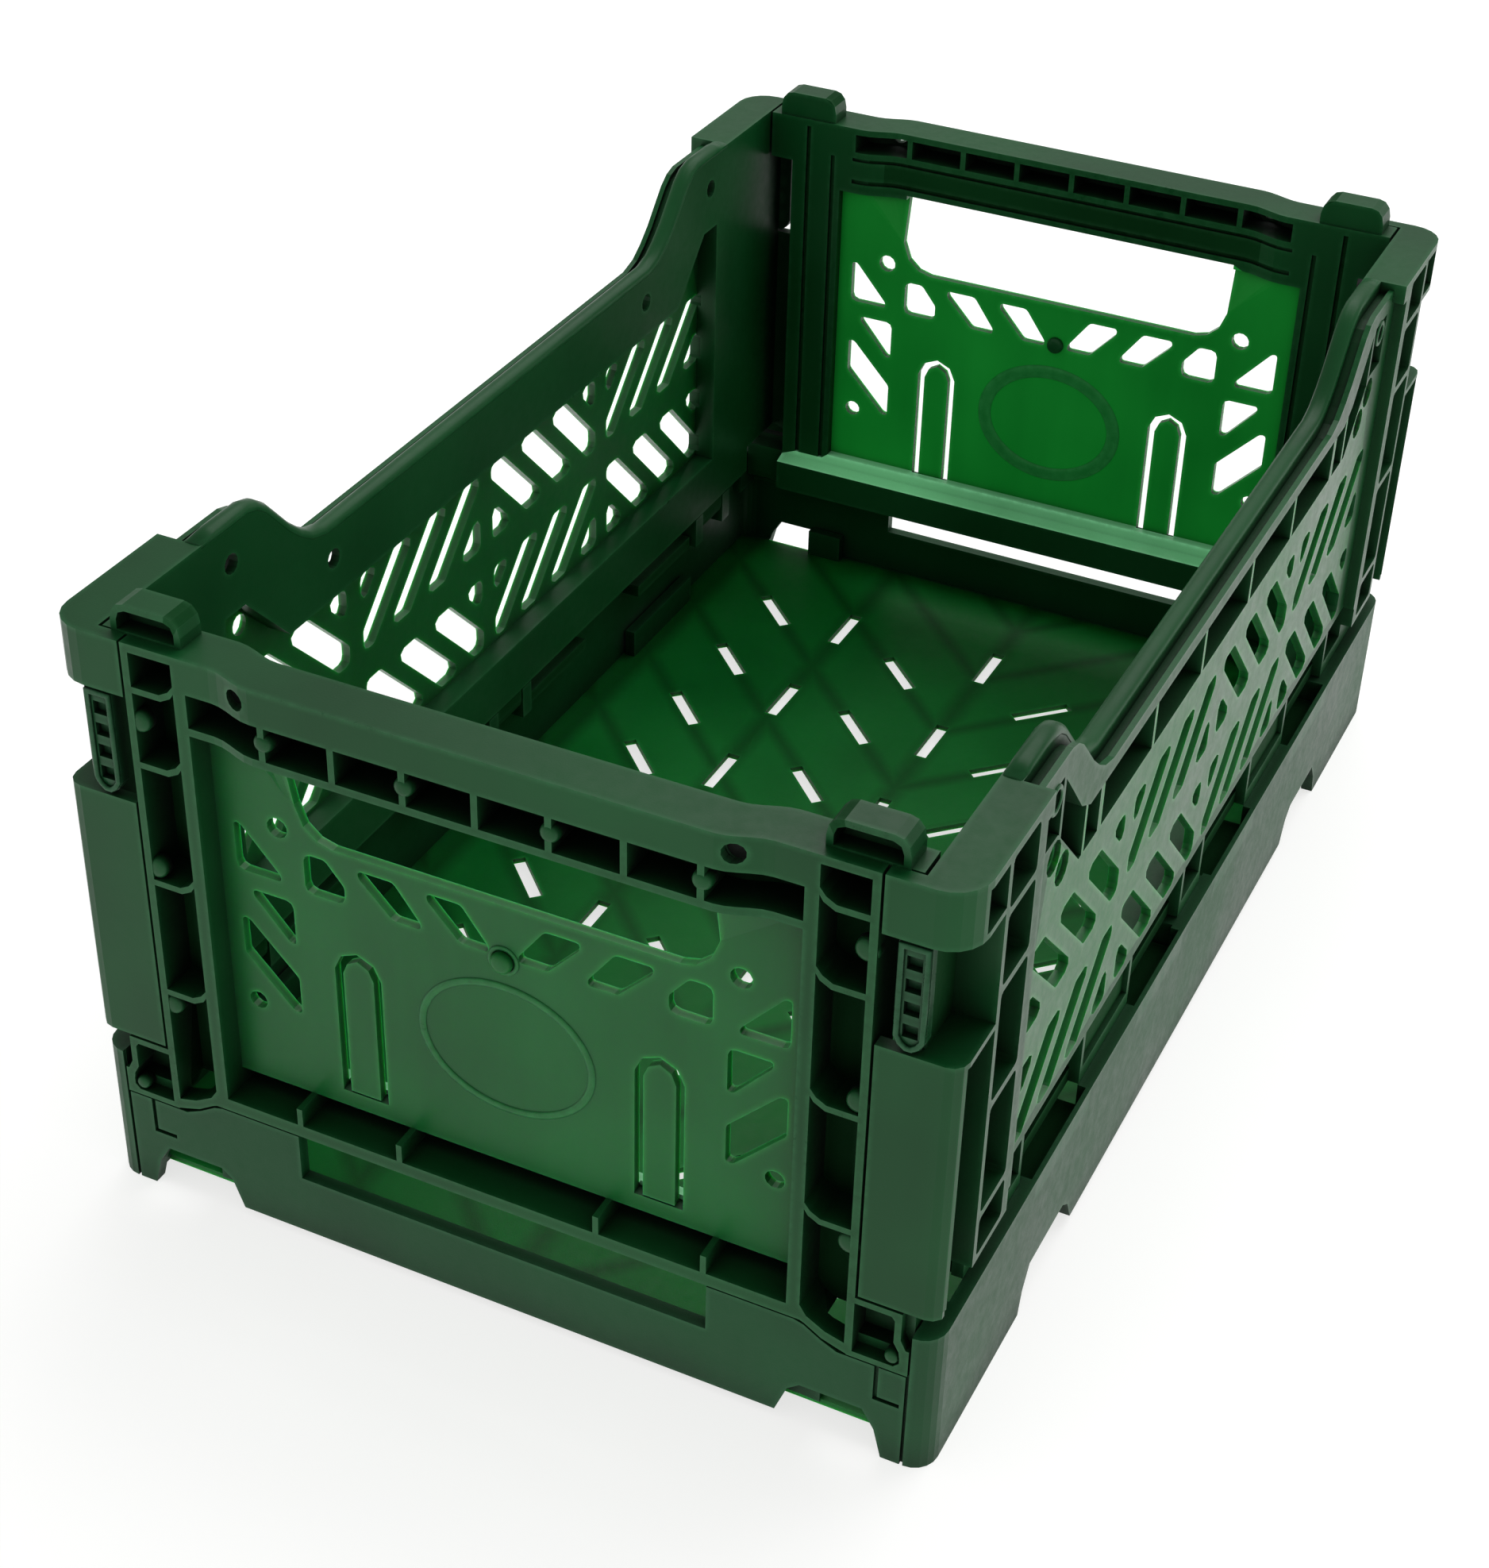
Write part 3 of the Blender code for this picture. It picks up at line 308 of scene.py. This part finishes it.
def collar(bm, centre, radii, tube, direction, low, count=28):
    """A rounded ring lying on a face. radii are across and up, and low is its height to half its width."""
    axis = Vector(direction).normalized()
    side = Vector((1, 0, 0)) if abs(axis.x) < 0.7 else Vector((0, 1, 0))
    side = (side - axis * side.dot(axis)).normalized()
    other = axis.cross(side)
    across, up = radii
    rings = []
    for i in range(count):
        angle = 2.0 * math.pi * i / count
        middle = Vector(centre) + side * math.cos(angle) * across + other * math.sin(angle) * up
        radial = (side * math.cos(angle) / across + other * math.sin(angle) / up).normalized()
        ring = []
        for a in (-90, -50, -10, 30, 60, 90, 120, 150, 190, 230):
            turn = math.radians(a)
            rise = math.sin(turn)
            rise = rise * low if rise > 0 else -0.25
            ring.append(tuple(middle + radial * math.cos(turn) * tube + axis * rise * tube))
        rings.append(ring)
    loft(bm, rings, loop=True)


def inset(points, width):
    """The closed outline that lies width inside another one."""
    inner = []
    for i, point in enumerate(points):
        here = Vector(point)
        one = (here - Vector(points[i - 1])).normalized()
        two = (Vector(points[(i + 1) % len(points)]) - here).normalized()
        normal = Vector((-one.y - two.y, one.x + two.x)).normalized()
        reach = width / max(0.4, normal.dot(Vector((-one.y, one.x))))
        inner.append(here + normal * reach)
    return inner


def outline_rim(bm, points, width, y_front, y_back):
    """A raised border inside a closed outline in the plane of an end wall."""
    inner = inset(points, width)
    profile = ((0.0, y_back), (0.0, y_front + 0.12), (0.25, y_front), (0.5, y_front - 0.02), (0.75, y_front),
               (1.0, y_front + 0.12), (1.0, y_back))
    rings = []
    for share, y in profile:
        ring = []
        for outside, inside in zip(points, inner):
            x, z = Vector(outside).lerp(inside, share)
            ring.append((x, y, z))
        rings.append(ring)
    loft(bm, rings, loop=True)


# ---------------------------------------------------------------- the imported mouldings

# Each test takes a corner of a face, with x and y counted from the middle of the crate.

def on_end_panel(x, y, z):
    """The thin panel of an end wall, outside and inside, but not its frame."""
    return x < PANEL_SIDE and 31.3 < z < PANEL_HEAD and PANEL_IN - SLACK < y < PANEL_OUT + 2.5


def on_end_panel_inside(x, y, z):
    """The inner face of the same panel, above the bottom beam."""
    return x < PANEL_SIDE and 35.0 < z < PANEL_HEAD and PANEL_IN - SLACK < y < PANEL_OUT + 0.65


def in_end_cells(x, y, z):
    """The backs of the ladder cells and of the cells under the rim."""
    if x > 56.0:
        return 57.0 < x < 66.0 and 124.5 < y < 132.5
    return 106.5 < z < 114.0 and 125.0 < y < 130.5


def on_end_rail(x, y, z):
    """The inner top of an end wall's bottom beam."""
    return x < 67.1 and 31.9 < z < 36.2 and 120.5 < y < 126.4


def on_side_panel(x, y, z):
    """The slotted panel of a long wall."""
    return y < 98.0 and 42.0 < z < 102.0 and SIDE_PANEL_IN - SLACK < x < SIDE_OUT + SLACK


def in_side_cells(x, y, z):
    """The backs of the deep cells and the plates along the bottom."""
    return 74.0 < x < 75.0 or (z < 41.8 and x < 79.0)


def on_floor(x, y, z):
    """The tray's slotted floor."""
    return z < 4.5 and x < 79.5 and y < 130.5


def in_channel(x, y, z):
    """The channels of the tray under the long walls."""
    return 22.5 < z < 29.0 and 74.4 < x < 81.5 and y < 90.0


# The inner panel faces, the beam tops and the cell backs get the greens with painted light and painted
# shade.
END = [(panel_green, on_end_panel), (painted_backlit_green, on_end_panel_inside), (painted_shade_green, in_end_cells),
       (painted_lit_rail_green, on_end_rail)]
SIDE = [(side_green, on_side_panel), (painted_shade_green, in_side_cells)]
TRAY = [(floor_green, on_floor), (painted_shade_green, in_channel)]
TAB = [(painted_backlit_green, on_end_panel_inside)]

# The first entry whose word is in a node's name holds: its main green, its other greens, its bevel.
LOOKS = (
    ("tray", tray_green, TRAY, 0.45),
    ("pin", pin_green, [], 0.2),
    ("latch", clip_green, [], 0.2),
    ("tab", panel_green, TAB, 0.2),
    ("end_wall", wall_green, END, 0.3),
    ("long_wall", wall_green, SIDE, 0.3),
)
SHARP = math.radians(33.0)


def faces_inward(face):
    """Whether a face of an end wall looks into the crate."""
    return face.normal.y * face.center.y < 0.0 and abs(face.normal.y) >= 0.8


def paint(obj, main, others):
    """Give a node its main green, and other greens where a test holds at every corner of a face."""
    mesh = obj.data
    mesh.materials.clear()
    mesh.materials.append(main)
    for face in mesh.polygons:
        face.material_index = 0
        face.use_smooth = True
    for number, (other, test) in enumerate(others):
        mesh.materials.append(other)
        for face in mesh.polygons:
            # the painted glow of the panels goes only on faces that look into the crate
            if other is painted_backlit_green and not faces_inward(face):
                continue
            corners = [mesh.vertices[v].co / MM for v in face.vertices]
            if all(test(abs(corner.x), abs(corner.y), corner.z) for corner in corners):
                face.material_index = number + 1


def soften(obj, width):
    """Round a node's edges and even out its shading."""
    obj.data.set_sharp_from_angle(angle=SHARP)
    bevel = obj.modifiers.new("soften", "BEVEL")
    bevel.width = width * MM
    bevel.segments = 2
    bevel.limit_method = "ANGLE"
    bevel.angle_limit = SHARP
    bevel.use_clamp_overlap = False
    even = obj.modifiers.new("even", "WEIGHTED_NORMAL")
    even.keep_sharp = True
    even.weight = 80


for node_name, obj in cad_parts.items():
    word, main, others, bevel_width = next(look for look in LOOKS if look[0] in node_name)
    paint(obj, main, others)
    soften(obj, bevel_width)


# ---------------------------------------------------------------- end wall details

def corner_place(end, side):
    """The move from the front right corner to another corner."""
    if end == "front":
        return None if side == "right" else MIRROR_X
    return HALF_TURN @ MIRROR_X if side == "right" else HALF_TURN


def panel_details(end, turn):
    """The oval rings and the middle bosses on both faces of an end wall's panel."""
    body = end + "_wall"
    bm = bmesh.new()
    collar(bm, (0.0, -PANEL_OUT, OVAL_HEIGHT), (16.2, 13.2), 0.8, (0, -1, 0), 0.35, 72)
    piece(end + "_oval_outside", bm, body, turn, panel_green)
    bm = bmesh.new()
    # the inner oval ring carries painted shade and a faint painted glow
    collar(bm, (0.0, -PANEL_IN, OVAL_HEIGHT), (16.0, 13.0), 1.7, (0, 1, 0), 0.3, 72)
    piece(end + "_oval_inside", bm, body, turn, oval_shade_and_glow_green)
    bm = bmesh.new()
    dome(bm, (0.0, -PANEL_OUT, 75.8), 2.0, 1.7, (0, -1, 0))
    collar(bm, (0.0, -PANEL_OUT, 75.8), (2.5, 2.5), 0.5, (0, -1, 0), 0.6)
    piece(end + "_centre_boss_outside", bm, body, turn, panel_green)
    bm = bmesh.new()
    dome(bm, (0.0, -PANEL_IN, 77.2), 1.9, 1.3, (0, 1, 0))
    piece(end + "_centre_boss_inside", bm, body, turn)


def frame_details(end, side, place):
    """The hole rim, pads and bosses on one half of an end wall's frame."""
    body = end + "_wall"
    stem = end + "_" + side
    bm = bmesh.new()
    collar(bm, (44.0, -END_FACE, 116.8), (2.35, 2.35), 0.55, (0, -1, 0), 0.6)
    piece(stem + "_grip_hole_rim", bm, body, place)
    for number, x in enumerate(RIB_PAD_XS):
        bm = bmesh.new()
        dome(bm, (x, 2.0 - GRIP_FACE, 110.2), 1.75, 2.25, (0, -1, 0))
        piece(stem + "_rib_pad_" + str(number + 1), bm, body, place)
    for number, z in enumerate(LADDER_BOSS_HEIGHTS):
        bm = bmesh.new()
        dome(bm, (LADDER_X, 1.8 - END_FACE, z), 2.1, 1.75, (0, -1, 0))
        piece(stem + "_ladder_boss_" + str(number + 1), bm, body, place)
    bm = bmesh.new()
    dome(bm, (73.9, 1.6 - END_FACE, 23.7), 1.35, 1.65, (0, -1, 0))
    piece(stem + "_foot_boss", bm, body, place)


def latch_rim(end, side, place):
    """The raised border of a latch tongue."""
    latch = end + "_" + side + "_latch"
    bm = bmesh.new()
    outline_rim(bm, TONGUE, 0.9, -END_FACE - 0.2, -END_FACE + 0.6)
    piece(latch + "_rim", bm, latch, place, clip_green)


for end, turn in (("front", None), ("back", HALF_TURN)):
    panel_details(end, turn)
    for side in ("right", "left"):
        frame_details(end, side, corner_place(end, side))

for end in ("front", "back"):
    for side in ("right", "left"):
        latch_rim(end, side, corner_place(end, side))


# ---------------------------------------------------------------- long wall details

# Half of a long wall's top edge, from the corner post down to the ridge, as (y, z).
TOP_LINE = [(-101.6, RIM_TOP), (-97.0, RIM_TOP), (-92.0, RIM_TOP), (-87.5, RIM_TOP), (-84.6, 119.2),
            (-82.0, 117.4), (-79.0, 114.2), (-75.5, 110.4), (-72.0, 107.4), (-68.5, 105.2),
            (-64.0, RIDGE_TOP)]
BEAD_X = 74.8
BEAD_HALF = 1.86
BEAD_RISE = 1.15
BEAD_STEPS = 8


def ridge_bead(bm):
    """A rounded bead along the top of a long wall, nearly flush at both ends."""
    line = TOP_LINE + [(y, RIDGE_TOP) for y in range(-48, 49, 16)]
    line += [(-y, z) for y, z in TOP_LINE[::-1]]
    rings = []
    for i, (y, z) in enumerate(line):
        before = line[max(0, i - 1)]
        after = line[min(len(line) - 1, i + 1)]
        along = Vector((after[0] - before[0], after[1] - before[1])).normalized()
        up = Vector((-along.y, along.x))
        rise = BEAD_RISE if abs(y) < 98.0 else 0.25
        ring = []
        for step in range(BEAD_STEPS + 1):
            angle = math.pi * step / BEAD_STEPS
            lift = -0.35 + (rise + 0.35) * math.sin(angle) ** 0.8
            ring.append((BEAD_X + BEAD_HALF * math.cos(angle), y + up.x * lift, z + up.y * lift))
        for x in (BEAD_X - 1.8, BEAD_X + 1.8):
            ring.append((x, y - up.x * 0.6, z - up.y * 0.6))
        rings.append(ring)
    loft(bm, rings)


def long_wall_details(side, turn):
    """The bead and the two hole rims of a long wall."""
    bm = bmesh.new()
    ridge_bead(bm)
    piece(side + "_wall_ridge_bead", bm, "crate_body", turn)
    for number, y in enumerate((-93.6, 93.6)):
        bm = bmesh.new()
        collar(bm, (SIDE_OUT, y, 112.4), (2.3, 2.3), 0.5, (1, 0, 0), 0.7, 24)
        piece(side + "_wall_hole_rim_" + str(number + 1), bm, "crate_body", turn)


for side, turn in (("right", None), ("left", HALF_TURN)):
    long_wall_details(side, turn)


# ---------------------------------------------------------------- camera, floor and light, in metres

CAMERA_AZIMUTH = math.radians(24.89)
CAMERA_ELEVATION = math.radians(34.855)
CAMERA_ROLL = math.radians(1.677)
CAMERA_AIM = Vector((0.0, 0.0, 0.050))
CAMERA_DISTANCE = 0.56678
CAMERA_ASIDE = -0.01591
CAMERA_ABOVE = -0.014847
SENSOR = 36.0
LENS = 64.3964


def make_camera():
    """A camera that looks down at the front right corner, close enough for strong perspective."""
    level = math.cos(CAMERA_ELEVATION)
    back = Vector((math.sin(CAMERA_AZIMUTH) * level, -math.cos(CAMERA_AZIMUTH) * level,
                   math.sin(CAMERA_ELEVATION)))
    right = Vector((0, 0, 1)).cross(back).normalized()
    up = back.cross(right)
    x_axis = right * math.cos(CAMERA_ROLL) + up * math.sin(CAMERA_ROLL)
    y_axis = up * math.cos(CAMERA_ROLL) - right * math.sin(CAMERA_ROLL)
    spot = CAMERA_AIM + back * CAMERA_DISTANCE + x_axis * CAMERA_ASIDE + y_axis * CAMERA_ABOVE
    data = bpy.data.cameras.new("camera")
    data.sensor_width = SENSOR
    data.lens = LENS
    data.clip_start = 0.01
    camera = bpy.data.objects.new("camera", data)
    bpy.context.scene.collection.objects.link(camera)
    rows = [(x_axis[i], y_axis[i], back[i], spot[i]) for i in range(3)]
    camera.matrix_world = Matrix((*rows, (0, 0, 0, 1)))
    bpy.context.scene.camera = camera


def make_floor():
    """A pale floor that reaches to the horizon. It lights itself, but adds no light to the crate."""
    bm = bmesh.new()
    bmesh.ops.create_grid(bm, x_segments=4, y_segments=4, size=40.0)
    mesh = bpy.data.meshes.new("floor")
    bm.to_mesh(mesh)
    bm.free()
    floor = bpy.data.objects.new("floor", mesh)
    bpy.context.scene.collection.objects.link(floor)
    material = bpy.data.materials.new("floor")
    material.use_nodes = True
    shader = material.node_tree.nodes["Principled BSDF"]
    shader.inputs["Base Color"].default_value = (0.55, 0.55, 0.55, 1)
    shader.inputs["Emission Color"].default_value = (1.0, 1.0, 0.99, 1)
    shader.inputs["Emission Strength"].default_value = 0.72
    shader.inputs["Roughness"].default_value = 0.8
    shader.inputs["Specular IOR Level"].default_value = 0.1
    mesh.materials.append(material)
    floor.visible_diffuse = False


def make_sky():
    """An even sky with a narrow bright band along the horizon, where it meets the floor without a step."""
    world = bpy.data.worlds.new("world")
    bpy.context.scene.world = world
    world.use_nodes = True
    tree = world.node_tree
    sky = tree.nodes["Background"]
    sky.inputs["Color"].default_value = (1, 1, 1, 1)
    height = tree.nodes.new("ShaderNodeSeparateXYZ")
    tree.links.new(tree.nodes.new("ShaderNodeTexCoord").outputs["Generated"], height.inputs["Vector"])
    band = tree.nodes.new("ShaderNodeMapRange")
    band.inputs["From Min"].default_value = 0.06
    band.inputs["From Max"].default_value = 0.10
    band.inputs["To Min"].default_value = 1.0
    band.inputs["To Max"].default_value = 0.45
    tree.links.new(height.outputs["Z"], band.inputs["Value"])
    tree.links.new(band.outputs["Result"], sky.inputs["Strength"])


def soft_light(name, spot, aim, size, power):
    data = bpy.data.lights.new(name, "AREA")
    data.shape = "RECTANGLE"
    data.size = size[0]
    data.size_y = size[1]
    data.energy = power
    lamp = bpy.data.objects.new(name, data)
    bpy.context.scene.collection.objects.link(lamp)
    lamp.location = spot
    lamp.rotation_euler = (Vector(aim) - Vector(spot)).to_track_quat("-Z", "Y").to_euler()


make_camera()
make_floor()
make_sky()
soft_light("top_back", (0.1, 0.8, 1.2), (0, 0.05, 0.05), (1.6, 1.0), 9.0)
bpy.context.scene.view_settings.view_transform = "Standard"
